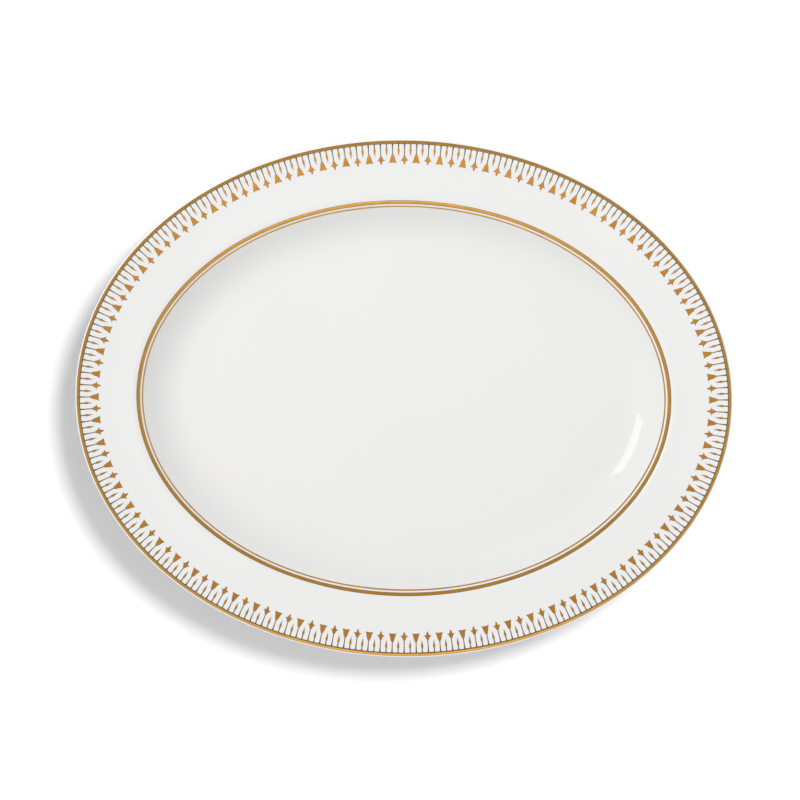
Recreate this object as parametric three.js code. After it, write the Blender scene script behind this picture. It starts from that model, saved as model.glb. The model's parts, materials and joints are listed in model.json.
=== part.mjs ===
// Oval serving platter in gilded porcelain.
// Millimetres. +Z is up, X is the long axis, and the foot ring stands on Z = 0.
//
// Every size across the platter is an inset: a distance measured inwards from the lip, square to
// the oval. The rim, the well and the gilding are all parallel to the lip, so one section drawn
// as inset and height, carried once round the oval, gives each of them.

import * as THREE from 'three';
import { mergeVertices } from 'three/addons/utils/BufferGeometryUtils.js';

// Overall size of the porcelain.
const LENGTH = 330;
const WIDTH = 260;
const HEIGHT = 28;

// Section of the porcelain body.
const LIP_THICKNESS = 3.8;
const RIM_WIDTH = 31;
const RIM_RISE = 6;
const RIM_DISH = 0.7;
const SHOULDER_LENGTH = 3;
const WALL_RUN = 23.5;
const WALL_SLOPE = 48;
const BODY_THICKNESS = 4.2;

// Foot ring, standing under the outer edge of the floor.
const FOOT_HEIGHT = 3;
const FOOT_WIDTH = 4;
const FOOT_SETBACK = 6;
const FOOT_LEDGE = 0.8;
const FOOT_ROUND = 0.8;

// Gilding. Real gilding is a film far thinner than this; the layer stands clear of the glaze.
const GILT_LIFT = 0.12;
const GILT_THICKNESS = 0.2;
const GILT_CLEARANCE = 0.2;
const LIP_MARGIN = 0.9;
const EDGE_BAND_WIDTH = 1;
const VERGE_BAND_SETBACK = 0.4;
const VERGE_BAND_WIDTH = 1.3;
const VERGE_LINE_GAP = 1.1;
const VERGE_LINE_WIDTH = 0.65;

// Frieze of flowers hanging inwards from a base line. Lengths start at the base line. The first
// bell stands FRIEZE_START past the end of the long axis, because the frieze is laid on by eye.
const REPEAT_PITCH = 12;
const BASE_LINE_WIDTH = 0.4;
const STEM_WIDTH = 0.5;
const BUD = { start: 1.6, widest: 2.9, width: 1.1, tip: 5.9 };
const BELL = { start: 5, flare: 9.3, width: 3.7 };
const LOTUS = { start: 6, petals: 8.1, width: 3.2, waist: 8.7, waistWidth: 1.6, tip: 10.2 };
const FRIEZE_START = 2.5;

// Number of flat facets round the oval.
const FACETS = 80;

const lipRadius = LIP_THICKNESS / 2;
const vergeTop = HEIGHT - RIM_RISE;
const floorTop = FOOT_HEIGHT + BODY_THICKNESS;
const floorInset = RIM_WIDTH + WALL_RUN;
const footInset = floorInset - FOOT_SETBACK;

// A point of the oval that lies inset from the lip. The angle is the ellipse's own parameter.
function ovalPoint(angle, inset) {
  const outward = new THREE.Vector2(WIDTH * Math.cos(angle), LENGTH * Math.sin(angle)).normalize();
  const lip = new THREE.Vector2(LENGTH * Math.cos(angle), WIDTH * Math.sin(angle)).divideScalar(2);
  return lip.addScaledVector(outward, -inset);
}

// One line round the oval, parallel to the lip.
class OvalLine extends THREE.Curve {
  constructor(inset) {
    super();
    this.inset = inset;
    this.arcLengthDivisions = 1440;
  }

  getPoint(t, target = new THREE.Vector2()) {
    return target.copy(ovalPoint(2 * Math.PI * t, this.inset));
  }
}

// The section is drawn with x as the inset and y as the height.
const at = (inset, height) => new THREE.Vector2(inset, height);
const slope = (degrees) => at(1, 0).rotateAround(at(0, 0), -THREE.MathUtils.degToRad(degrees));

// Upper face, from the lip to the edge of the floor.
function upperCurves() {
  const lipTop = at(lipRadius, HEIGHT);
  const verge = at(RIM_WIDTH, vergeTop);
  const rimEnd = verge.clone().lerp(lipTop, SHOULDER_LENGTH / verge.distanceTo(lipTop));
  const wallStart = verge.clone().addScaledVector(slope(WALL_SLOPE), SHOULDER_LENGTH);
  const dish = lipTop.clone().lerp(rimEnd, 0.5).add(at(0, -2 * RIM_DISH));
  const intoWall = wallStart.clone().addScaledVector(slope(WALL_SLOPE), WALL_RUN / 4);
  return {
    lip: new THREE.EllipseCurve(lipRadius, HEIGHT - lipRadius, lipRadius, lipRadius, Math.PI,
      Math.PI / 2, true),
    rim: new THREE.QuadraticBezierCurve(lipTop, dish, rimEnd),
    shoulder: new THREE.QuadraticBezierCurve(rimEnd, verge, wallStart),
    wall: new THREE.CubicBezierCurve(wallStart, intoWall, at(floorInset - WALL_RUN / 2, floorTop),
      at(floorInset, floorTop)),
  };
}

// Lower face, from the lip to the foot ring.
function lowerCurves() {
  const lipBottom = at(lipRadius, HEIGHT - LIP_THICKNESS);
  const below = slope(WALL_SLOPE / 2 + 90);
  const knee = at(RIM_WIDTH, vergeTop).addScaledVector(below, BODY_THICKNESS);
  const dish = lipBottom.clone().lerp(knee, 0.5).add(at(0, -2 * RIM_DISH));
  const heel = at(footInset - FOOT_LEDGE, FOOT_HEIGHT);
  const intoWall = knee.clone().addScaledVector(slope(WALL_SLOPE), WALL_RUN / 4);
  const intoHeel = heel.clone().addScaledVector(slope(WALL_SLOPE / 2), -WALL_RUN / 4);
  return {
    lip: new THREE.EllipseCurve(lipRadius, HEIGHT - lipRadius, lipRadius, lipRadius, Math.PI,
      1.5 * Math.PI, false),
    rim: new THREE.QuadraticBezierCurve(lipBottom, dish, knee),
    wall: new THREE.CubicBezierCurve(knee, intoWall, intoHeel, heel),
  };
}

const upper = upperCurves();
const lower = lowerCurves();
const upperLine = ['lip', 'rim', 'shoulder', 'wall'].flatMap((name) => upper[name].getPoints(60));

// A point standing above the upper face by lift, square to it.
function aboveGlaze(inset, lift) {
  const last = upperLine.findIndex((point) => point.x > inset);
  const before = upperLine[last - 1];
  const after = upperLine[last];
  const along = after.clone().sub(before);
  const share = (inset - before.x) / along.x;
  return before.clone().addScaledVector(along, share)
    .addScaledVector(at(-along.y, along.x).normalize(), lift);
}

// One closed body: shared corners merged, and triangles without area left out.
function closedBody(geometry) {
  geometry.deleteAttribute('normal');
  geometry.deleteAttribute('uv');
  const merged = mergeVertices(geometry, 1e-4);
  const corners = merged.getIndex().array;
  const kept = [];
  for (let i = 0; i < corners.length; i += 3) {
    const [a, b, c] = corners.slice(i, i + 3);
    if (a !== b && b !== c && c !== a) kept.push(a, b, c);
  }
  merged.setIndex(kept);
  return merged;
}

// Carries a closed section round the oval. It is turned as a round plate first, with the lip's
// circle half the length across, and then each point moves to its inset from the oval's lip.
// Inside the edge of the floor there is no room for parallel lines, so the floor is scaled.
function carriedRound(section) {
  const outline = section.map((point) => at(LENGTH / 2 - point.x, point.y));
  const round = closedBody(new THREE.LatheGeometry(outline, FACETS));
  const position = round.getAttribute('position');
  const floorRadius = LENGTH / 2 - floorInset;
  for (let i = 0; i < position.count; i += 1) {
    const turned = new THREE.Vector3().fromBufferAttribute(position, i);
    const radius = Math.hypot(turned.x, turned.z);
    const inset = LENGTH / 2 - Math.max(radius, floorRadius);
    const place = ovalPoint(Math.atan2(turned.x, turned.z), inset);
    place.multiplyScalar(Math.min(1, radius / floorRadius));
    position.setXYZ(i, place.x, place.y, turned.y);
  }
  return round;
}

function bodySection() {
  const centre = LENGTH / 2;
  return [
    at(centre, FOOT_HEIGHT),
    ...lower.wall.getPoints(5).reverse(),
    ...lower.rim.getPoints(3).reverse().slice(1),
    ...lower.lip.getPoints(3).reverse().slice(1),
    ...upper.lip.getPoints(4).slice(1),
    ...upper.rim.getPoints(4).slice(1),
    ...upper.shoulder.getPoints(3).slice(1),
    ...upper.wall.getPoints(6).slice(1),
    at(centre, floorTop),
  ];
}

function footSection() {
  const inner = footInset + FOOT_WIDTH;
  return [
    at(inner, FOOT_HEIGHT),
    at(inner, FOOT_ROUND),
    at(inner - FOOT_ROUND, 0),
    at(footInset + FOOT_ROUND, 0),
    at(footInset, FOOT_ROUND),
    at(footInset, FOOT_HEIGHT),
    at(inner, FOOT_HEIGHT),
  ];
}

// A gilt line between two insets, as thick as the gilding.
function giltSection(inset, width) {
  const outer = [GILT_LIFT, GILT_LIFT + GILT_THICKNESS].map((lift) => aboveGlaze(inset, lift));
  const inner = [GILT_LIFT + GILT_THICKNESS, GILT_LIFT]
    .map((lift) => aboveGlaze(inset + width, lift));
  return [...inner.slice(1), ...outer, ...inner];
}

const baseLineInset = LIP_MARGIN + EDGE_BAND_WIDTH + GILT_CLEARANCE;
const stemInset = baseLineInset + BASE_LINE_WIDTH;
const vergeBandInset = RIM_WIDTH - VERGE_BAND_SETBACK;
const vergeLineInset = vergeBandInset + VERGE_BAND_WIDTH + VERGE_LINE_GAP;

// Each flower is a list of half widths at growing distances from the base line.
const stem = STEM_WIDTH / 2;
const bud = [[0, stem], [BUD.start, stem], [BUD.widest, BUD.width / 2], [BUD.tip, 0]];
const bell = [[0, stem], [BELL.start, stem], [BELL.flare, BELL.width / 2]];
const lotus = [
  [0, stem],
  [LOTUS.start, stem],
  [LOTUS.petals, LOTUS.width / 2],
  [LOTUS.waist, LOTUS.waistWidth / 2],
  [LOTUS.tip, 0],
];
const flowers = [bud, bell, bud, lotus];

// Outline of one repeat, laid out flat: x runs along the frieze, y is the inset.
function repeatOutline(pitch) {
  const outline = [at(0, baseLineInset), at(0, stemInset)];
  flowers.forEach((flower, place) => {
    const middle = pitch * (place + 0.5) / flowers.length;
    const left = flower.map(([length, half]) => at(middle - half, stemInset + length));
    const right = flower.map(([length, half]) => at(middle + half, stemInset + length)).reverse();
    const pointed = flower.at(-1)[1] === 0;
    outline.push(...left, ...right.slice(pointed ? 1 : 0));
  });
  outline.push(at(pitch, stemInset), at(pitch, baseLineInset), at(pitch / 2, baseLineInset));
  return outline.reverse();
}

// The frieze: whole repeats laid end to end along its middle line and wrapped onto the rim.
function friezeGeometry() {
  const middle = new OvalLine(stemInset + BELL.start);
  const repeats = Math.round(middle.getLength() / REPEAT_PITCH);
  const pitch = middle.getLength() / repeats;
  const outline = repeatOutline(pitch);
  const bellPlace = pitch * (flowers.indexOf(bell) + 0.5) / flowers.length;
  const start = (FRIEZE_START - bellPlace) / middle.getLength() + 1;
  const wrapped = (repeat, lift) => outline.map((point) => {
    const share = start + (repeat + point.x / pitch) / repeats;
    const surface = aboveGlaze(point.y, lift);
    const place = ovalPoint(2 * Math.PI * middle.getUtoTmapping(share % 1), surface.x);
    return new THREE.Vector3(place.x, place.y, surface.y);
  });
  const faces = THREE.ShapeUtils.triangulateShape(wrapped(0, GILT_LIFT), []);
  const meetsNextRepeat = (point, next) => point.x === next.x && point.x % pitch === 0;
  const corners = [];
  for (let repeat = 0; repeat < repeats; repeat += 1) {
    const under = wrapped(repeat, GILT_LIFT);
    const over = wrapped(repeat, GILT_LIFT + GILT_THICKNESS);
    faces.forEach(([a, b, c]) => {
      corners.push(over[a], over[b], over[c], under[a], under[c], under[b]);
    });
    outline.forEach((point, i) => {
      const j = (i + 1) % outline.length;
      if (meetsNextRepeat(point, outline[j])) return;
      corners.push(under[i], under[j], over[j], under[i], over[j], over[i]);
    });
  }
  return closedBody(new THREE.BufferGeometry().setFromPoints(corners));
}

const glaze = { color: 0xf1f1ed, roughness: 0.12, metalness: 0 };
const bareClay = { color: 0xe9e4d8, roughness: 0.75, metalness: 0 };
const burnishedGold = { color: 0xd69b45, roughness: 0.3, metalness: 1 };
const printedGold = { color: 0xbf8a40, roughness: 0.4, metalness: 1 };

function piece(name, geometry, finish) {
  const mesh = new THREE.Mesh(geometry, new THREE.MeshStandardMaterial(finish));
  mesh.name = name;
  return mesh;
}

const platter = new THREE.Group();
platter.add(
  piece('platter_body', carriedRound(bodySection()), glaze),
  piece('foot_ring', carriedRound(footSection()), bareClay),
  piece('gilt_edge_band', carriedRound(giltSection(LIP_MARGIN, EDGE_BAND_WIDTH)), burnishedGold),
  piece('gilt_frieze', friezeGeometry(), printedGold),
  piece('gilt_verge_band', carriedRound(giltSection(vergeBandInset, VERGE_BAND_WIDTH)),
    burnishedGold),
  piece('gilt_verge_line', carriedRound(giltSection(vergeLineInset, VERGE_LINE_WIDTH)),
    burnishedGold),
);

export default platter;
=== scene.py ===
# %% [markdown]
# # An oval serving platter in gilded porcelain
# The real thing is one piece of white clay, pressed or cast in an oval mould, glazed and fired.
# Gold is put on after that and fired again at a lower heat: a printed frieze of flowers on the
# rim, and lines drawn by hand with a fine brush. This lesson makes the clay first, lays each
# piece of gold on its surface, and then gives every one of them its finish.

# %% Load the fixed frame
import json
from math import cos, pi, radians, sin, tan

import bmesh
import bpy
import numpy as np
from mathutils import Matrix, Vector


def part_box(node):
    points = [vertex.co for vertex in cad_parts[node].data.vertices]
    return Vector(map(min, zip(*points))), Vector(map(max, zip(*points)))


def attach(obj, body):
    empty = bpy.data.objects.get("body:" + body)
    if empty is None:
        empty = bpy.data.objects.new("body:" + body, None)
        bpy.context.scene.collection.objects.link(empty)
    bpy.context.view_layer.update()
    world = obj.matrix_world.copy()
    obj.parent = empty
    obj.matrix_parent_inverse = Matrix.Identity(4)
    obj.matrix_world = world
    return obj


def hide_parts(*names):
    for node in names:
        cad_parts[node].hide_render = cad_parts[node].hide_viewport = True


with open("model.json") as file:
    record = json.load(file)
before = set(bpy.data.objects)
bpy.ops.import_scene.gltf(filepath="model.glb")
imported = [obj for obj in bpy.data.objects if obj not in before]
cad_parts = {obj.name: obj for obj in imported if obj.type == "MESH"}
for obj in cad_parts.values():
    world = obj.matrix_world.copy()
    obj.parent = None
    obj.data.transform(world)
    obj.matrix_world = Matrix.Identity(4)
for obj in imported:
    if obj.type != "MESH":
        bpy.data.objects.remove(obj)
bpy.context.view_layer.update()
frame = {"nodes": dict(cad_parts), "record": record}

print("nodes in the frame:", sorted(frame["nodes"]))

# %% [markdown]
# ## Sizes
# Everything is worked out in millimetres and made in metres. A distance across the platter is an
# inset: it is measured inwards from the lip, square to the oval. The frame gives the oval, the
# heights and the place of the foot. The rest is the section that the mould was cut to.

# %% Sizes of the porcelain
MM = 0.001
body_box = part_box("platter_body")
foot_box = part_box("foot_ring")
HALF_LENGTH = body_box[1].x / MM
HALF_WIDTH = body_box[1].y / MM
HEIGHT = body_box[1].z / MM
FOOT_HEIGHT = foot_box[1].z / MM
FOOT_INSET = HALF_LENGTH - foot_box[1].x / MM
mounts = {mount["name"]: mount for mount in frame["record"]["mounts"]}
FLOOR_TOP = mounts["well_floor"]["pos_m"][2] / MM

LIP_RADIUS = 1.9
RIM_WIDTH = 31
RIM_RISE = 6
RIM_DISH = 0.7
SHOULDER = 3
WALL_RUN = 23.5
WALL_SLOPE = radians(48)
WALL_THICKNESS = 4.2
FLOOR_INSET = RIM_WIDTH + WALL_RUN
print(f"oval {2 * HALF_LENGTH:.0f} x {2 * HALF_WIDTH:.0f} mm, {HEIGHT:.0f} mm high,",
      f"well {HEIGHT - RIM_RISE - FLOOR_TOP:.1f} mm deep")

# %% [markdown]
# ## Drawing a section
# A potter cuts a profile to shape a plate. The same profile is drawn here as points of inset and
# height, from Bezier curves and arcs. Bezier curves are used because their ends can be made to
# run into each other without a kink, as a scraped clay surface does.


# %% Helpers for curves
def bezier(*corners, steps):
    """Points along a Bezier curve with these control points."""
    points = [np.outer(np.ones(steps + 1), corner) for corner in corners]
    share = np.linspace(0, 1, steps + 1)[:, None]
    while len(points) > 1:
        points = [a + (b - a) * share for a, b in zip(points, points[1:])]
    return points[0]


def arc(centre, radius, start, end, steps):
    """Points along an arc, with its angles in degrees from the inward direction."""
    turn = np.radians(np.linspace(start, end, steps + 1))
    return np.array(centre) + radius * np.column_stack([np.cos(turn), np.sin(turn)])


def joined(*stretches):
    """One line from several, with the point that two of them share kept once."""
    return np.vstack([stretches[0]] + [stretch[1:] for stretch in stretches[1:]])


def towards(angle, length):
    """A step of this length that falls inwards at this angle."""
    return np.array([length * cos(angle), -length * sin(angle)])


# %% The face that is seen from above
lip_centre = np.array([LIP_RADIUS, HEIGHT - LIP_RADIUS])
lip_top = lip_centre + [0, LIP_RADIUS]
verge = np.array([RIM_WIDTH, HEIGHT - RIM_RISE])


def upper_section():
    """From the outermost point of the lip over the rim and down the wall to the centre."""
    rim_end = verge + (lip_top - verge) * SHOULDER / np.linalg.norm(lip_top - verge)
    wall_start = verge + towards(WALL_SLOPE, SHOULDER)
    dish = (lip_top + rim_end) / 2 - [0, 2 * RIM_DISH]
    floor_edge = np.array([FLOOR_INSET, FLOOR_TOP])
    return joined(
        arc(lip_centre, LIP_RADIUS, 180, 90, 12),
        bezier(lip_top, dish, rim_end, steps=36),
        bezier(rim_end, verge, wall_start, steps=14),
        bezier(wall_start, wall_start + towards(WALL_SLOPE, WALL_RUN / 4),
               floor_edge - [WALL_RUN / 2, 0], floor_edge, steps=40),
        bezier(floor_edge, [HALF_LENGTH, FLOOR_TOP], steps=6),
    )


upper_face = upper_section()
print("points in the upper face:", len(upper_face))

# %% The underside
KNEE = 5
HEEL_OUTSIDE_FOOT = 0.8
lip_bottom = lip_centre - [0, LIP_RADIUS]


def lower_section():
    """From the outermost point of the lip under the rim and down to the centre."""
    knee = verge - [sin(WALL_SLOPE / 2) * WALL_THICKNESS, cos(WALL_SLOPE / 2) * WALL_THICKNESS]
    dish = (lip_bottom + knee) / 2 - [0, 2 * RIM_DISH]
    heel = np.array([FOOT_INSET - HEEL_OUTSIDE_FOOT, FOOT_HEIGHT])
    above_knee = knee + (lip_bottom - knee) * KNEE / np.linalg.norm(lip_bottom - knee)
    below_knee = knee + towards(WALL_SLOPE * 0.8, KNEE)
    return joined(
        arc(lip_centre, LIP_RADIUS, 180, 270, 12),
        bezier(lip_bottom, dish, above_knee, steps=24),
        bezier(above_knee, knee, below_knee, steps=10),
        bezier(below_knee, below_knee + towards(WALL_SLOPE, WALL_RUN / 5),
               heel - towards(WALL_SLOPE / 2, WALL_RUN / 4), heel, steps=24),
        bezier(heel, [HALF_LENGTH, FOOT_HEIGHT], steps=6),
    )


body_section = joined(lower_section()[::-1], upper_face)
print("points in the body's section:", len(body_section))

# %% The foot ring
FOOT_WIDTH = 4
FOOT_EDGE = 1.1


def ring_section():
    """Straight sides, and a bearing edge that is rounded by wiping and grinding."""
    outside = FOOT_INSET
    inside = FOOT_INSET + FOOT_WIDTH
    return joined(
        bezier([inside, FOOT_HEIGHT], [inside, FOOT_EDGE], steps=4),
        arc([inside - FOOT_EDGE, FOOT_EDGE], FOOT_EDGE, 0, -90, 6),
        bezier([inside - FOOT_EDGE, 0], [outside + FOOT_EDGE, 0], steps=4),
        arc([outside + FOOT_EDGE, FOOT_EDGE], FOOT_EDGE, -90, -180, 6),
        bezier([outside, FOOT_EDGE], [outside, FOOT_HEIGHT], steps=4),
        bezier([outside, FOOT_HEIGHT], [inside, FOOT_HEIGHT], steps=2),
    )


foot_section = ring_section()
print("points in the foot's section:", len(foot_section))

# %% [markdown]
# ## Colours and finishes
# Colours are written as sRGB hex values, as a colour picker shows them, and one function turns
# them into the linear values that the renderer works with.


# %% Helpers for nodes and colours
def linear(hex_colour):
    """An sRGB hex colour as linear RGBA."""
    parts = [int(hex_colour[i:i + 2], 16) / 255 for i in (0, 2, 4)]
    return [p / 12.92 if p <= 0.04045 else ((p + 0.055) / 1.055) ** 2.4 for p in parts] + [1]


def add(tree, kind, inputs=None, **settings):
    """A new node in a tree, with its settings, and with each input set or linked."""
    made = tree.nodes.new(kind)
    for name, value in settings.items():
        setattr(made, name, value)
    for key, value in (inputs or {}).items():
        if isinstance(value, bpy.types.NodeSocket):
            tree.links.new(value, made.inputs[key])
        else:
            made.inputs[key].default_value = value
    return made


def new_finish(name):
    """A new material, its empty tree and its Object coordinates."""
    material = bpy.data.materials.new(name)
    material.use_nodes = True
    tree = material.node_tree
    tree.nodes.clear()
    place = add(tree, "ShaderNodeTexCoord").outputs["Object"]
    return material, tree, place


def finish_with(tree, shader):
    """The end that every material here has."""
    add(tree, "ShaderNodeOutputMaterial", {"Surface": shader.outputs["BSDF"]})


# %% [markdown]
# ### Glazed porcelain
# Hard-paste porcelain is a very white, slightly translucent body under a thin clear glaze. The
# body scatters light and the glaze mirrors it, so the finish is a rough white base under a smooth
# clear coat. Two waves in the bump, 14 mm and 2 mm long, stand for the glaze, which never melts
# quite level, and the white drifts very slightly from warm to cool over a few centimetres.


# %% Glazed porcelain
def glazed_porcelain():
    material, tree, place = new_finish("glazed_porcelain")
    drift = add(tree, "ShaderNodeTexNoise", {"Vector": place, "Scale": 1 / (70 * MM), "Detail": 2})
    white = add(tree, "ShaderNodeMix", {"Factor": drift.outputs["Fac"], "A": linear("efeeec"),
                                        "B": linear("ebeceb")}, data_type="RGBA")
    pool = add(tree, "ShaderNodeTexNoise", {"Vector": place, "Scale": 1 / (14 * MM), "Detail": 1})
    peel = add(tree, "ShaderNodeTexNoise", {"Vector": place, "Scale": 1 / (2.2 * MM), "Detail": 2})
    slow = add(tree, "ShaderNodeBump", {"Height": pool.outputs["Fac"], "Distance": 0.02 * MM})
    fine = add(tree, "ShaderNodeBump", {"Height": peel.outputs["Fac"], "Distance": 0.0008 * MM,
                                        "Normal": slow.outputs["Normal"]})
    shader = add(tree, "ShaderNodeBsdfPrincipled", {
        "Base Color": white.outputs["Result"], "Roughness": 0.5, "IOR": 1.5,
        "Specular IOR Level": 0.2, "Coat Weight": 1.0, "Coat Roughness": 0.04, "Coat IOR": 1.5,
        "Normal": fine.outputs["Normal"], "Coat Normal": fine.outputs["Normal"]})
    finish_with(tree, shader)
    return material


glaze = glazed_porcelain()
print("nodes in the glaze:", len(glaze.node_tree.nodes))

# %% [markdown]
# ### Bare porcelain
# The foot is wiped clean of glaze so that it doesn't stick to the kiln shelf. Its sides keep
# their glaze down to a soft line, and the bearing edge below it is dry, slightly gritty clay that
# has picked up a little grey from the tables it has stood on.


# %% Bare porcelain
def bare_porcelain():
    material, tree, place = new_finish("bare_porcelain")
    height = add(tree, "ShaderNodeSeparateXYZ", {"Vector": place}).outputs["Z"]
    waver = add(tree, "ShaderNodeTexNoise", {"Vector": place, "Scale": 1 / (6 * MM), "Detail": 2})
    line = add(tree, "ShaderNodeMath", {0: waver.outputs["Fac"], 1: 0.8 * MM, 2: 0.9 * MM},
               operation="MULTIPLY_ADD").outputs[0]
    above = add(tree, "ShaderNodeMath", {0: height, 1: line}, operation="SUBTRACT").outputs[0]
    glazed = add(tree, "ShaderNodeMapRange", {"Value": above, "From Min": -0.1 * MM,
                                              "From Max": 0.1 * MM}).outputs["Result"]
    grit = add(tree, "ShaderNodeTexNoise", {"Vector": place, "Scale": 1 / (0.5 * MM), "Detail": 4})
    scuff = add(tree, "ShaderNodeTexNoise", {"Vector": place, "Scale": 1 / (9 * MM), "Detail": 3})
    worn = add(tree, "ShaderNodeMapRange", {"Value": scuff.outputs["Fac"], "From Min": 0.5,
                                            "From Max": 0.75}).outputs["Result"]
    clay = add(tree, "ShaderNodeMix", {"Factor": worn, "A": linear("e6e1d6"),
                                       "B": linear("cfccc6")}, data_type="RGBA")
    colour = add(tree, "ShaderNodeMix", {"Factor": glazed, "A": clay.outputs["Result"],
                                         "B": linear("ecebe6")}, data_type="RGBA")
    rough = add(tree, "ShaderNodeMapRange", {"Value": glazed, "To Min": 0.8, "To Max": 0.12})
    bump = add(tree, "ShaderNodeBump", {"Height": grit.outputs["Fac"], "Distance": 0.02 * MM})
    shader = add(tree, "ShaderNodeBsdfPrincipled", {
        "Base Color": colour.outputs["Result"], "Roughness": rough.outputs["Result"],
        "IOR": 1.5, "Normal": bump.outputs["Normal"]})
    finish_with(tree, shader)
    return material


bare_clay = bare_porcelain()
print("nodes in the bare clay:", len(bare_clay.node_tree.nodes))

# %% [markdown]
# ### Gold and the printed line
# Liquid gold is painted or printed on the glaze and fired to a thin film. Painted lines are
# burnished, so they are smoother and brighter than printed gold. Both are metals, so their colour
# is in the reflection, and small changes of roughness and of colour show how thickly the gold
# lies. A fine unevenness, about a third of a millimetre long, breaks the reflection up. Under the
# printed gold lies a dark brown line print, which shows as the stems and as a fine outline.


# %% Gold
def fired_gold(name, thick, thin, roughness, grain):
    """Gold whose colour goes from thin to thick, with patches of this grain in millimetres."""
    material, tree, place = new_finish(name)
    patch = add(tree, "ShaderNodeTexNoise", {"Vector": place, "Scale": 1 / (grain * MM),
                                             "Detail": 3, "Roughness": 0.6})
    lay = add(tree, "ShaderNodeMapRange", {"Value": patch.outputs["Fac"], "From Min": 0.3,
                                           "From Max": 0.7}).outputs["Result"]
    colour = add(tree, "ShaderNodeMix", {"Factor": lay, "A": linear(thin), "B": linear(thick)},
                 data_type="RGBA")
    rough = add(tree, "ShaderNodeMapRange", {"Value": lay, "To Min": roughness + 0.1,
                                             "To Max": roughness})
    uneven = add(tree, "ShaderNodeTexNoise", {"Vector": place, "Scale": 1 / (0.35 * MM),
                                              "Detail": 2})
    bump = add(tree, "ShaderNodeBump", {"Height": uneven.outputs["Fac"], "Distance": 0.01 * MM})
    shader = add(tree, "ShaderNodeBsdfPrincipled", {
        "Base Color": colour.outputs["Result"], "Metallic": 1.0,
        "Roughness": rough.outputs["Result"], "Normal": bump.outputs["Normal"]})
    finish_with(tree, shader)
    return material


burnished_gold = fired_gold("burnished_gold", "d49e48", "c8903e", roughness=0.26, grain=6)
printed_gold = fired_gold("printed_gold", "dd9b42", "c98a3c", roughness=0.36, grain=4)
print("golds:", burnished_gold.name, printed_gold.name)


# %% The printed line
def printed_line():
    """Brown ceramic colour, fired into the glaze until it is nearly as smooth."""
    material, tree, place = new_finish("brown_line_print")
    patch = add(tree, "ShaderNodeTexNoise", {"Vector": place, "Scale": 1 / (5 * MM), "Detail": 2})
    colour = add(tree, "ShaderNodeMix", {"Factor": patch.outputs["Fac"], "A": linear("5f4c2c"),
                                         "B": linear("78663f")}, data_type="RGBA")
    shader = add(tree, "ShaderNodeBsdfPrincipled", {
        "Base Color": colour.outputs["Result"], "Roughness": 0.35, "IOR": 1.5})
    finish_with(tree, shader)
    return material


line_print = printed_line()
print("finishes:", [material.name for material in bpy.data.materials])

# %% [markdown]
# ## Carrying a section round the oval
# A round plate is turned on a wheel, and an oval one follows a guide. Spin would give circles and
# a scaled circle would make the rim wider at its ends, so a Geometry Nodes tree is built that
# places every point by its inset: the rim, the well and the foot all stay parallel to the lip.
# Inside the edge of the floor the lines shrink towards the centre. The tree fills a grid, one
# column for each station round the oval and one row for each point of the section.


# %% Helpers for Geometry Nodes
def new_tree(name, **inputs):
    """A Geometry Nodes tree with these named inputs, each given as (socket kind, default)."""
    tree = bpy.data.node_groups.new(name, "GeometryNodeTree")
    tree.interface.new_socket("Geometry", in_out="OUTPUT", socket_type="NodeSocketGeometry")
    tree.interface.new_socket("Geometry", in_out="INPUT", socket_type="NodeSocketGeometry")
    for key, (kind, default) in inputs.items():
        made = tree.interface.new_socket(key, in_out="INPUT", socket_type="NodeSocket" + kind)
        if default is not None:
            made.default_value = default
    return tree, add(tree, "NodeGroupInput").outputs


def end_tree(tree, geometry, material):
    """The end that every tree here has: smooth shading, real mesh and a material."""
    smooth = add(tree, "GeometryNodeSetShadeSmooth", {"Geometry": geometry})
    real = add(tree, "GeometryNodeRealizeInstances", {"Geometry": smooth.outputs[0]})
    painted = add(tree, "GeometryNodeSetMaterial", {"Geometry": real.outputs[0],
                                                    "Material": material})
    add(tree, "NodeGroupOutput", {"Geometry": painted.outputs[0]})


def grown(name, start_mesh, tree, inputs, sharp=None):
    """An object made by running a tree on a mesh, kept as a plain mesh with no modifier."""
    piece = bpy.data.objects.new(name, start_mesh)
    bpy.context.scene.collection.objects.link(piece)
    modifier = piece.modifiers.new("tree", "NODES")
    modifier.node_group = tree
    for item in tree.interface.items_tree:
        if item.item_type == "SOCKET" and item.in_out == "INPUT" and item.name in inputs:
            modifier[item.identifier] = inputs[item.name]
    depsgraph = bpy.context.evaluated_depsgraph_get()
    mesh = bpy.data.meshes.new_from_object(piece.evaluated_get(depsgraph))
    piece.modifiers.clear()
    piece.data = mesh
    mesh.name = name
    if sharp is not None:
        mesh.set_sharp_from_angle(angle=radians(sharp))
    print(f"{name}: {len(mesh.vertices)} points, {len(mesh.polygons)} faces")
    return piece


def line_mesh(name, points):
    """A line of points, given as inset and height in millimetres, as a mesh of edges."""
    mesh = bpy.data.meshes.new(name)
    places = [(x * MM, 0, z * MM) for x, z in points]
    mesh.from_pydata(places, [(i, i + 1) for i in range(len(places) - 1)], [])
    return mesh


# %% Helpers that place a section on the oval
SEAM = 0.001
OVAL_INPUTS = {
    "Half length": ("Float", HALF_LENGTH * MM),
    "Half width": ("Float", HALF_WIDTH * MM),
}


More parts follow.
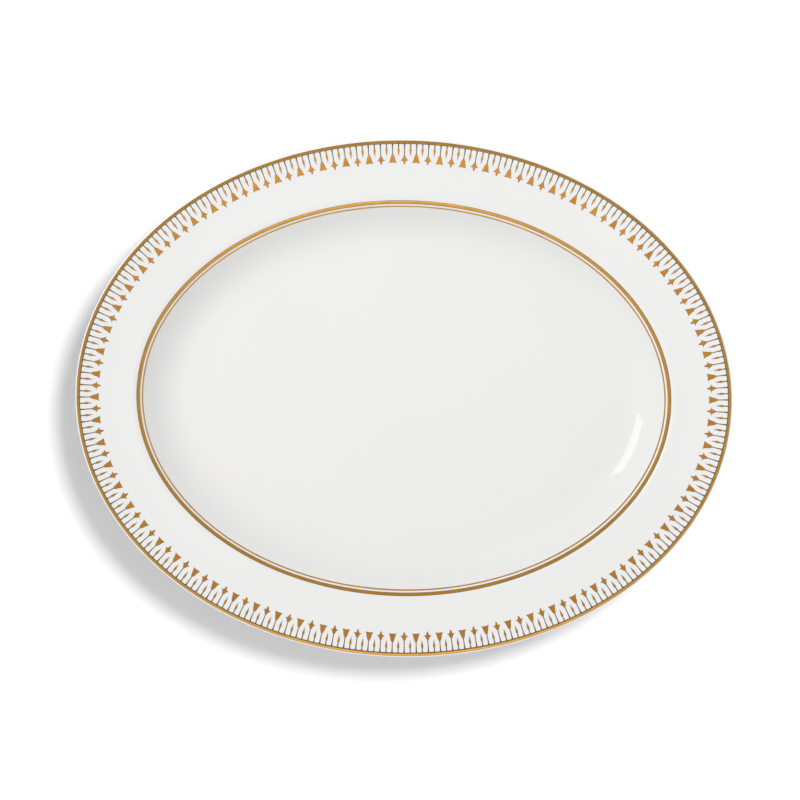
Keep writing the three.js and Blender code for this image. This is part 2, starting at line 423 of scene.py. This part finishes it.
def oval_place(tree, angle, half_length, half_width, inset):
    """The point of the oval at an angle, moved inwards by inset."""
    across = add(tree, "ShaderNodeMath", {0: angle}, operation="COSINE").outputs[0]
    along = add(tree, "ShaderNodeMath", {0: angle}, operation="SINE").outputs[0]
    turned = add(tree, "ShaderNodeCombineXYZ", {"X": across, "Y": along}).outputs[0]
    size = add(tree, "ShaderNodeCombineXYZ", {"X": half_length, "Y": half_width}).outputs[0]
    swapped = add(tree, "ShaderNodeCombineXYZ", {"X": half_width, "Y": half_length}).outputs[0]
    lip = add(tree, "ShaderNodeVectorMath", {0: turned, 1: size}, operation="MULTIPLY").outputs[0]
    square = add(tree, "ShaderNodeVectorMath", {0: turned, 1: swapped},
                 operation="MULTIPLY").outputs[0]
    outward = add(tree, "ShaderNodeVectorMath", {0: square}, operation="NORMALIZE").outputs[0]
    shift = add(tree, "ShaderNodeVectorMath", {0: outward, "Scale": inset},
                operation="SCALE").outputs[0]
    return add(tree, "ShaderNodeVectorMath", {0: lip, 1: shift}, operation="SUBTRACT").outputs[0]


def section_grid(tree, given):
    """A grid for a section carried round, with the angle, inset and height of each point."""
    rows = add(tree, "GeometryNodeAttributeDomainSize", {"Geometry": given["Geometry"]})
    row_count = rows.outputs["Point Count"]
    columns = add(tree, "ShaderNodeMath", {0: given["Stations"], 1: 1.0}).outputs[0]
    grid = add(tree, "GeometryNodeMeshGrid", {"Vertices X": columns, "Vertices Y": row_count})
    index = add(tree, "GeometryNodeInputIndex").outputs[0]
    ratio = add(tree, "ShaderNodeMath", {0: index, 1: row_count}, operation="DIVIDE").outputs[0]
    column = add(tree, "ShaderNodeMath", {0: ratio}, operation="FLOOR").outputs[0]
    row = add(tree, "ShaderNodeMath", {0: index, 1: row_count}, operation="MODULO").outputs[0]
    turn = add(tree, "ShaderNodeMath", {0: column, 1: given["Stations"]}, operation="DIVIDE")
    angle = add(tree, "ShaderNodeMath", {0: turn.outputs[0], 1: 2 * pi}, operation="MULTIPLY")
    sample = add(tree, "GeometryNodeSampleIndex", {
        "Geometry": given["Geometry"], "Index": row,
        "Value": add(tree, "GeometryNodeInputPosition").outputs[0]}, data_type="FLOAT_VECTOR")
    point = add(tree, "ShaderNodeSeparateXYZ", {"Vector": sample.outputs["Value"]}).outputs
    return grid.outputs["Mesh"], angle.outputs[0], point["X"], point["Z"]


def placed_and_closed(tree, grid, place, height):
    """The grid with its points at a place on the oval and a height, and its seam closed."""
    raised = add(tree, "ShaderNodeVectorMath", {
        0: place, 1: add(tree, "ShaderNodeCombineXYZ", {"Z": height}).outputs[0]})
    placed = add(tree, "GeometryNodeSetPosition", {"Geometry": grid,
                                                   "Position": raised.outputs[0]})
    return add(tree, "GeometryNodeMergeByDistance", {"Geometry": placed.outputs[0],
                                                     "Distance": SEAM * MM}).outputs[0]


# %% The tree that carries a section round the oval
def carrying_tree():
    tree, given = new_tree("section carried round the oval", **OVAL_INPUTS, **{
        "Floor inset": ("Float", FLOOR_INSET * MM),
        "Stations": ("Int", 384),
        "Finish": ("Material", None),
    })
    grid, angle, inset, height = section_grid(tree, given)
    held = add(tree, "ShaderNodeMath", {0: inset, 1: given["Floor inset"]}, operation="MINIMUM")
    ring = oval_place(tree, angle, given["Half length"], given["Half width"], held.outputs[0])
    left = add(tree, "ShaderNodeMath", {0: given["Half length"], 1: inset}, operation="SUBTRACT")
    full = add(tree, "ShaderNodeMath", {0: given["Half length"], 1: given["Floor inset"]},
               operation="SUBTRACT")
    share = add(tree, "ShaderNodeMath", {0: left.outputs[0], 1: full.outputs[0]},
                operation="DIVIDE")
    shrink = add(tree, "ShaderNodeMath", {0: share.outputs[0], 1: 1.0}, operation="MINIMUM")
    flat = add(tree, "ShaderNodeVectorMath", {0: ring, "Scale": shrink.outputs[0]},
               operation="SCALE").outputs[0]
    end_tree(tree, placed_and_closed(tree, grid, flat, height), given["Finish"])
    return tree


carry = carrying_tree()
print("nodes in the tree:", len(carry.nodes))

# %% The porcelain body and its foot
body = grown("platter_body_glazed", line_mesh("body section", body_section), carry,
             {"Finish": glaze}, sharp=50)
foot = grown("foot_ring_bare_edge", line_mesh("foot section", foot_section), carry,
             {"Finish": bare_clay}, sharp=50)


# %% [markdown]
# ## Laying gold on the glaze
# A gold film has to follow the dish of the rim and the round of the shoulder exactly. Each film is
# therefore made flat, with its thickness as its height, and a small node group lays it down: a ray
# goes straight down from every point, finds the glaze, and the point is put there, lifted along
# the surface's own direction by the height it had. Real gold is a few thousandths of a millimetre
# thick. It is drawn at 0.04 mm, or up to 0.075 mm where it covers a print, and both are still too
# thin to see as a step.

# %% The group that lays a flat film on the glaze
FILM = (0.006, 0.04)
FILM_OVER_PRINT = (0.044, 0.075)
RAY_START = 100
RAY_LENGTH = 200


def laying_group():
    """Puts every point of a film that was made flat onto the glaze below it."""
    tree, given = new_tree("lay on the glaze", **{"Glaze": ("Object", None)})
    target = add(tree, "GeometryNodeObjectInfo", {"Object": given["Glaze"]})
    place = add(tree, "GeometryNodeInputPosition").outputs[0]
    parts = add(tree, "ShaderNodeSeparateXYZ", {"Vector": place}).outputs
    above = add(tree, "ShaderNodeCombineXYZ", {"X": parts["X"], "Y": parts["Y"],
                                               "Z": RAY_START * MM})
    ray = add(tree, "GeometryNodeRaycast", {
        "Target Geometry": target.outputs["Geometry"], "Source Position": above.outputs[0],
        "Ray Direction": (0, 0, -1), "Ray Length": RAY_LENGTH * MM})
    lift = add(tree, "ShaderNodeVectorMath", {0: ray.outputs["Hit Normal"], "Scale": parts["Z"]},
               operation="SCALE")
    onto = add(tree, "ShaderNodeVectorMath", {0: ray.outputs["Hit Position"], 1: lift.outputs[0]})
    laid = add(tree, "GeometryNodeSetPosition", {"Geometry": given["Geometry"],
                                                 "Position": onto.outputs[0]})
    add(tree, "NodeGroupOutput", {"Geometry": laid.outputs[0]})
    return tree


lay_on_glaze = laying_group()
print("nodes in the group:", len(lay_on_glaze.nodes))


def end_on_glaze(tree, given, geometry):
    """The end of a tree whose shape is laid on the glaze."""
    laid = add(tree, "GeometryNodeGroup", node_tree=lay_on_glaze)
    tree.links.new(geometry, laid.inputs["Geometry"])
    tree.links.new(given["Glaze"], laid.inputs["Glaze"])
    end_tree(tree, laid.outputs[0], given["Finish"])


# %% [markdown]
# ## Gold lines drawn by hand
# The edge band, the broad band on the shoulder and the thin line inside it are each one stroke
# round the oval. They are strips carried round as the body was. A hand-drawn line wanders a few
# hundredths of a millimetre and swells and thins, so the tree moves each edge of the strip by a
# noise that meets itself at the end of the round. The noise is read further on for each
# millimetre of inset, so the two edges of a stroke move apart and together. Under the two bands
# lies a brown line print that is a little wider than the gold; at the rim it is also the base
# line of the frieze.

# %% The tree for a hand-drawn line
NOISE_SCALE = 3.0
NOISE_PER_MM = 0.6


def stroke_tree():
    tree, given = new_tree("hand-drawn line", **OVAL_INPUTS, **{
        "Glaze": ("Object", None),
        "Stations": ("Int", 720),
        "Wander": ("Float", 0.05 * MM),
        "Seed": ("Float", 1.0),
        "Finish": ("Material", None),
    })
    grid, angle, inset, height = section_grid(tree, given)
    across = add(tree, "ShaderNodeMath", {0: angle}, operation="COSINE").outputs[0]
    along = add(tree, "ShaderNodeMath", {0: angle}, operation="SINE").outputs[0]
    edge = add(tree, "ShaderNodeMath", {0: inset, 1: NOISE_PER_MM / MM, 2: given["Seed"]},
               operation="MULTIPLY_ADD").outputs[0]
    spot = add(tree, "ShaderNodeCombineXYZ", {"X": across, "Y": along, "Z": edge}).outputs[0]
    noise = add(tree, "ShaderNodeTexNoise", {"Vector": spot, "Scale": NOISE_SCALE, "Detail": 3})
    sway = add(tree, "ShaderNodeMapRange", {"Value": noise.outputs["Fac"], "From Min": 0.3,
                                            "From Max": 0.7, "To Min": -1.0, "To Max": 1.0})
    moved = add(tree, "ShaderNodeMath", {0: sway.outputs["Result"], 1: given["Wander"], 2: inset},
                operation="MULTIPLY_ADD").outputs[0]
    ring = oval_place(tree, angle, given["Half length"], given["Half width"], moved)
    end_on_glaze(tree, given, placed_and_closed(tree, grid, ring, height))
    return tree


stroke = stroke_tree()
print("nodes in the tree:", len(stroke.nodes))

# %% The gold lines
LIP_MARGIN = 0.9
EDGE_BAND_WIDTH = 1.1
BASE_LINE_WIDTH = 0.4
PRINT_EDGE = 0.2
VERGE_BAND_INSET = 30.6
VERGE_BAND_WIDTH = 1.3
VERGE_LINE_INSET = 33
VERGE_LINE_WIDTH = 0.65
SOFT_EDGE = 0.06
HAND_WANDER = 0.05
PRINT_WANDER = 0.02


def strip_section(inset, width, film):
    """A closed strip: under side outwards, and back over the top with softened edges."""
    low, high = film
    top = [(inset, (low + high) / 2), (inset + SOFT_EDGE, high)]
    top += [(inset + width * share, high) for share in (0.25, 0.5, 0.75)]
    top += [(inset + width - SOFT_EDGE, high), (inset + width, (low + high) / 2)]
    under = [(inset + width * share, low) for share in (1, 0.75, 0.5, 0.25, 0)]
    return np.array(top + under + top[:1])[::-1]


def line(name, inset, width, seed, finish, film=FILM, wander=HAND_WANDER):
    """One stroke round the oval."""
    section = line_mesh(name + " section", strip_section(inset, width, film))
    return grown(name, section, stroke, {"Glaze": body, "Seed": seed, "Finish": finish,
                                         "Wander": wander * MM}, sharp=35)


edge_print = line("edge_line_print", LIP_MARGIN - PRINT_EDGE,
                  PRINT_EDGE + EDGE_BAND_WIDTH + BASE_LINE_WIDTH, 19.0, line_print,
                  wander=PRINT_WANDER)
edge_band = line("gilt_edge_band_stroke", LIP_MARGIN, EDGE_BAND_WIDTH, 1.0, burnished_gold,
                 film=FILM_OVER_PRINT)
verge_print = line("verge_line_print", VERGE_BAND_INSET - PRINT_EDGE,
                   VERGE_BAND_WIDTH + 2 * PRINT_EDGE, 23.0, line_print, wander=PRINT_WANDER)
verge_band = line("gilt_verge_band_stroke", VERGE_BAND_INSET, VERGE_BAND_WIDTH, 7.0,
                  burnished_gold, film=FILM_OVER_PRINT)
verge_line = line("gilt_verge_line_stroke", VERGE_LINE_INSET, VERGE_LINE_WIDTH, 13.0,
                  burnished_gold)

# %% [markdown]
# ## The flowers of the frieze
# The frieze has three motifs, each on a stem that grows from the base line towards the well: a
# closed bud, an open bell and a lotus. One repeat is bell, bud, lotus, bud. Each motif is drawn
# once, as half widths at growing insets; a smooth curve runs through the points of a stretch, and
# stretches meet in a corner. The brown print has the whole outline and the gold only the flower,
# a tenth of a millimetre inside it, which leaves the fine dark edge that the print gives.

# %% Outlines of the motifs
STEM_FOOT = LIP_MARGIN + EDGE_BAND_WIDTH + BASE_LINE_WIDTH / 2
BUD = {
    "stem": [(STEM_FOOT, 0.34), (3.3, 0.26), (4.1, 0.24)],
    "flower": [[(4.1, 0.24), (4.6, 0.42), (5.3, 0.56), (6.1, 0.46), (7.2, 0.22), (8.4, 0.02)]],
}
BELL = {
    "stem": [(STEM_FOOT, 0.44), (3.4, 0.3), (5.4, 0.22), (7.3, 0.22)],
    "flower": [
        [(7.3, 0.22), (7.8, 0.6), (8.8, 0.98), (10.0, 1.26), (11.1, 1.62), (11.8, 1.95)],
        [(11.8, 1.95), (11.66, 1.0), (11.62, 0.02)],
    ],
}
LOTUS = {
    "stem": [(STEM_FOOT, 0.44), (3.4, 0.3), (5.4, 0.22), (8.2, 0.22)],
    "flower": [
        [(8.2, 0.22), (8.5, 0.5), (9.1, 0.8), (9.7, 1.05), (10.15, 1.42), (10.6, 2.0)],
        [(10.6, 2.0), (10.68, 1.3), (10.75, 0.75)],
        [(10.75, 0.75), (11.1, 0.66), (11.6, 0.5), (12.1, 0.34), (12.65, 0.02)],
    ],
}
print("flower lengths in mm:", [round(motif["flower"][-1][-1][0] - motif["flower"][0][0][0], 2)
                                for motif in (BUD, BELL, LOTUS)])


# %% Helpers that draw a motif
HALF_TIP = 0.015


def smooth_through(points, steps=3):
    """A Catmull-Rom curve through all the points."""
    points = np.array(points, float)
    padded = np.vstack([2 * points[0] - points[1], points, 2 * points[-1] - points[-2]])
    share = np.arange(steps)[:, None] / steps
    parts = []
    for a, b, c, d in zip(padded, padded[1:], padded[2:], padded[3:]):
        parts.append(0.5 * (2 * b + (c - a) * share + (2 * a - 5 * b + 4 * c - d) * share ** 2
                            + (3 * b - a - 3 * c + d) * share ** 3))
    return np.vstack(parts + [points[-1:]])


def half_outline(motif, with_stem, inside=0.0):
    """One side of a motif, drawn inside its outline by this much."""
    stretches = [smooth_through(stretch) for stretch in motif["flower"]]
    if with_stem:
        stretches.insert(0, smooth_through(motif["stem"], steps=2))
    side = joined(*stretches)
    if inside:
        slope = np.gradient(side, axis=0)
        square = np.column_stack([slope[:, 1], -slope[:, 0]])
        square /= np.linalg.norm(square, axis=1)[:, None]
        side = side + inside * square
        side[:, 1] = np.maximum(side[:, 1], HALF_TIP)
    return side


def motif_mesh(name, motif, middle, film, with_stem=True, inside=0.0):
    """A thin closed plate: x runs along the frieze, y inwards from its middle line."""
    low, high = film
    side = half_outline(motif, with_stem, inside)
    ring = [(half, inset - middle) for inset, half in side]
    ring += [(-half, inset - middle) for inset, half in side[::-1]]
    built = bmesh.new()
    under = [built.verts.new((x * MM, y * MM, low * MM)) for x, y in ring]
    over = [built.verts.new((x * MM, y * MM, high * MM)) for x, y in ring]
    built.faces.new(over)
    built.faces.new(under[::-1])
    for i in range(len(ring)):
        j = (i + 1) % len(ring)
        built.faces.new([under[i], under[j], over[j], over[i]])
    bmesh.ops.recalc_face_normals(built, faces=built.faces)
    bmesh.ops.triangulate(built, faces=[f for f in built.faces if len(f.verts) > 4])
    mesh = bpy.data.meshes.new(name)
    built.to_mesh(mesh)
    built.free()
    return mesh


# %% [markdown]
# ## Repeating the frieze
# The flowers stand at even distances along the middle of the frieze, so a tree is built that
# measures that line, places four points for each repeat, and puts a motif on each point with its
# stem square to the line. The number of repeats is what fits at 12 mm each. The whole print is
# then laid on the glaze.

# %% Places for the motifs
FRIEZE_MIDDLE = 7.5
REPEAT_PITCH = 12
FRIEZE_START = 2.4
MIDDLE_STATIONS = 1440
ORDER = ("Bell", "Bud", "Lotus", "Bud")


def middle_line(tree, given, index):
    """The middle line of the frieze, as a closed curve."""
    circle = add(tree, "GeometryNodeCurvePrimitiveCircle", {"Resolution": MIDDLE_STATIONS})
    angle = add(tree, "ShaderNodeMath", {0: index, 1: 2 * pi / MIDDLE_STATIONS},
                operation="MULTIPLY")
    spot = oval_place(tree, angle.outputs[0], given["Half length"], given["Half width"],
                      given["Middle inset"])
    return add(tree, "GeometryNodeSetPosition", {"Geometry": circle.outputs["Curve"],
                                                 "Position": spot}).outputs[0]


def motif_points(tree, given, index, middle):
    """A point for each motif of each repeat, and the turn that stands it square to the line."""
    length = add(tree, "GeometryNodeCurveLength", {"Curve": middle}).outputs[0]
    fits = add(tree, "ShaderNodeMath", {0: length, 1: given["Pitch"]}, operation="DIVIDE")
    repeats = add(tree, "ShaderNodeMath", {0: fits.outputs[0]}, operation="ROUND").outputs[0]
    places = add(tree, "ShaderNodeMath", {0: repeats, 1: float(len(ORDER))},
                 operation="MULTIPLY").outputs[0]
    step = add(tree, "ShaderNodeMath", {0: length, 1: places}, operation="DIVIDE").outputs[0]
    whole = add(tree, "ShaderNodeMath", {0: index, 1: step, 2: given["Start"]},
                operation="MULTIPLY_ADD").outputs[0]
    reach = add(tree, "ShaderNodeMath", {0: whole, 1: length}, operation="MODULO").outputs[0]
    sample = add(tree, "GeometryNodeSampleCurve", {"Curves": middle, "Length": reach},
                 mode="LENGTH")
    points = add(tree, "GeometryNodePoints", {"Count": places,
                                              "Position": sample.outputs["Position"]})
    turned = add(tree, "FunctionNodeAlignRotationToVector", {
        "Vector": sample.outputs["Tangent"]}, axis="X", pivot_axis="Z")
    return points.outputs[0], turned.outputs[0]


# %% The tree that repeats the motifs
def frieze_tree():
    tree, given = new_tree("frieze of flowers", **OVAL_INPUTS, **{
        "Middle inset": ("Float", FRIEZE_MIDDLE * MM),
        "Pitch": ("Float", REPEAT_PITCH * MM),
        "Start": ("Float", FRIEZE_START * MM),
        "Bud": ("Object", None),
        "Bell": ("Object", None),
        "Lotus": ("Object", None),
        "Glaze": ("Object", None),
        "Finish": ("Material", None),
    })
    index = add(tree, "GeometryNodeInputIndex").outputs[0]
    middle = middle_line(tree, given, index)
    points, turned = motif_points(tree, given, index, middle)
    turn = add(tree, "ShaderNodeMath", {0: index, 1: float(len(ORDER))},
               operation="MODULO").outputs[0]
    joined_up = add(tree, "GeometryNodeJoinGeometry")
    for name in ("Bell", "Bud", "Lotus"):
        motif = add(tree, "GeometryNodeObjectInfo", {"Object": given[name]})
        numbers = [number for number, other in enumerate(ORDER) if other == name]
        for number in numbers:
            chosen = add(tree, "ShaderNodeMath", {0: turn, 1: float(number), 2: 0.25},
                         operation="COMPARE").outputs[0]
            standing = add(tree, "GeometryNodeInstanceOnPoints", {
                "Points": points, "Selection": chosen,
                "Instance": motif.outputs["Geometry"], "Rotation": turned})
            tree.links.new(standing.outputs[0], joined_up.inputs[0])
    real = add(tree, "GeometryNodeRealizeInstances", {"Geometry": joined_up.outputs[0]})
    end_on_glaze(tree, given, real.outputs[0])
    return tree


frieze = frieze_tree()
print("nodes in the tree:", len(frieze.nodes))


# %% The printed line and the gold of the frieze
def frieze_layer(name, finish, **shape):
    """One layer of the frieze, from the three motifs drawn for it."""
    motifs = {}
    for key, motif in (("Bud", BUD), ("Bell", BELL), ("Lotus", LOTUS)):
        mesh = motif_mesh(f"{name} {key}", motif, FRIEZE_MIDDLE, **shape)
        motifs[key] = bpy.data.objects.new(mesh.name, mesh)
        bpy.context.scene.collection.objects.link(motifs[key])
    layer = grown(name, bpy.data.meshes.new(name + " start"), frieze,
                  {**motifs, "Glaze": body, "Finish": finish}, sharp=35)
    for motif in motifs.values():
        bpy.data.objects.remove(motif)
    return layer


DARK_EDGE = 0.1

line_layer = frieze_layer("frieze_line_print", line_print, film=FILM)
gold_layer = frieze_layer("frieze_gold", printed_gold, film=FILM_OVER_PRINT,
                          with_stem=False, inside=DARK_EDGE)

# %% [markdown]
# ## Joining the looks to the frame
# Every piece rides on the one body, stands for the CAD node that it refines, and names the
# material slot that its finish belongs to.

# %% Pieces, nodes and slots
PIECES = [
    (body, "platter_body", "glazed_porcelain"),
    (foot, "foot_ring", "bare_porcelain"),
    (edge_band, "gilt_edge_band", "burnished_gold"),
    (verge_band, "gilt_verge_band", "burnished_gold"),
    (verge_line, "gilt_verge_line", "burnished_gold"),
    (edge_print, "gilt_frieze", "printed_gold"),
    (verge_print, "gilt_verge_band", "burnished_gold"),
    (line_layer, "gilt_frieze", "printed_gold"),
    (gold_layer, "gilt_frieze", "printed_gold"),
]
for piece, node, slot in PIECES:
    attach(piece, "root")
    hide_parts(node)

# %% [markdown]
# ## Floor, light and camera
# The platter is shown as a catalogue would: from straight above, on white, in soft light. A broad
# light hangs behind it and evens out the walls of the well, and a small window on the left leaves
# one soft streak on the far wall. The gilding has a light of its own in front. The shadow to the
# left and in front comes from a light that only the floor receives. Light linking keeps them
# apart, as flags do in a studio. The studio is measured in metres.

# %% Floor
FLOOR_HALF = 6.0


def white_paper():
    """Matt paper, with almost no shine."""
    material, tree, _ = new_finish("white_paper_sweep")
    finish_with(tree, add(tree, "ShaderNodeBsdfPrincipled", {
        "Base Color": linear("eeeeee"), "Roughness": 0.9, "Specular IOR Level": 0.1}))
    return material


floor_mesh = bpy.data.meshes.new("floor")
floor_mesh.from_pydata([(-FLOOR_HALF, -FLOOR_HALF, 0), (FLOOR_HALF, -FLOOR_HALF, 0),
                        (FLOOR_HALF, FLOOR_HALF, 0), (-FLOOR_HALF, FLOOR_HALF, 0)],
                       [], [(0, 1, 2, 3)])
floor_mesh.materials.append(white_paper())
floor = bpy.data.objects.new("floor", floor_mesh)
bpy.context.scene.collection.objects.link(floor)
print(f"floor {2 * FLOOR_HALF:.0f} m wide")


# %% Helpers for lights
def shine_on(lamp, name, receivers):
    """Let a lamp light only these objects."""
    group = bpy.data.collections.new(name + " receivers")
    for receiver in receivers:
        group.objects.link(receiver)
    lamp.light_linking.receiver_collection = group


def soft_light(name, place, size, power, receivers, mirrored=True):
    """A square light at this place, aimed at the platter, that only these objects receive."""
    light = bpy.data.lights.new(name, "AREA")
    light.shape = "SQUARE"
    light.size = size
    light.energy = power
    lamp = bpy.data.objects.new(name, light)
    lamp.location = place
    lamp.rotation_euler = (-lamp.location).to_track_quat("-Z", "Y").to_euler()
    lamp.visible_glossy = mirrored
    bpy.context.scene.collection.objects.link(lamp)
    shine_on(lamp, name, receivers)


# %% Lights
gilding = [edge_band, verge_band, verge_line, gold_layer, edge_print, verge_print, line_layer]
china = [body, foot]
soft_light("back_fill", (-0.55, 1.05, 1.5), 1.0, 10.2, china, mirrored=False)
soft_light("left_window", (-1.05, 0.42, 1.15), 0.6, 3.2, china)
soft_light("gilding_light", (0.1, -0.95, 1.1), 0.9, 2.2, gilding)

SHADOW_DIRECTION = Vector((-0.46, -0.45, -1))

sun = bpy.data.lights.new("floor_light", "SUN")
sun.energy = 2.0
sun.angle = radians(18)
floor_lamp = bpy.data.objects.new("floor_light", sun)
floor_lamp.rotation_euler = SHADOW_DIRECTION.to_track_quat("-Z", "Y").to_euler()
bpy.context.scene.collection.objects.link(floor_lamp)
shine_on(floor_lamp, "floor_light", [floor])
print("lights:", [lamp.name for lamp in bpy.data.lights])

# %% [markdown]
# The room itself is a soft white tent, brightest in front near the floor and darkest overhead and
# at the back. Gold shows this most: it is bright where it mirrors the front of the tent and brown
# where it mirrors the back.

# %% The tent
BRIGHT_SIDE = (-0.1, -0.99, -0.8)
DARKEST = 0.63
BRIGHTEST = 1.06

world = bpy.data.worlds.new("studio")
world.use_nodes = True
sky = world.node_tree
direction = add(sky, "ShaderNodeTexCoord").outputs["Generated"]
side = add(sky, "ShaderNodeVectorMath", {0: direction, 1: BRIGHT_SIDE},
           operation="DOT_PRODUCT").outputs["Value"]
bright = add(sky, "ShaderNodeMapRange", {"Value": side, "From Min": -1.0, "From Max": 1.0,
                                         "To Min": DARKEST, "To Max": BRIGHTEST})
sky.links.new(bright.outputs["Result"], sky.nodes["Background"].inputs["Strength"])
sky.nodes["Background"].inputs["Color"].default_value = (1, 1, 1, 1)
bpy.context.scene.world = world
bpy.context.scene.view_settings.view_transform = "Standard"
print("nodes in the tent:", len(sky.nodes))

# %% Camera
CAMERA_DISTANCE = 2.0
FRAME_WIDTH = 401.3
AIM_X = -2.2
AIM_Y = -0.8
LEAN_LEFT = radians(1.0)
LEAN_BACK = radians(0.7)
ROLL = radians(1.15)

aim = Vector((AIM_X * MM, AIM_Y * MM, HEIGHT * MM))
back = Vector((-tan(LEAN_LEFT), tan(LEAN_BACK), 1)).normalized()
right = Vector((cos(ROLL), sin(ROLL), 0))
right = (right - right.dot(back) * back).normalized()
up = back.cross(right)
camera_data = bpy.data.cameras.new("camera")
camera_data.lens = camera_data.sensor_width * CAMERA_DISTANCE / (FRAME_WIDTH * MM)
camera = bpy.data.objects.new("camera", camera_data)
camera.matrix_world = Matrix.Translation(aim + back * CAMERA_DISTANCE) @ Matrix(
    (right, up, back)).transposed().to_4x4()
bpy.context.scene.collection.objects.link(camera)
bpy.context.scene.camera = camera
print(f"lens {camera_data.lens:.0f} mm")
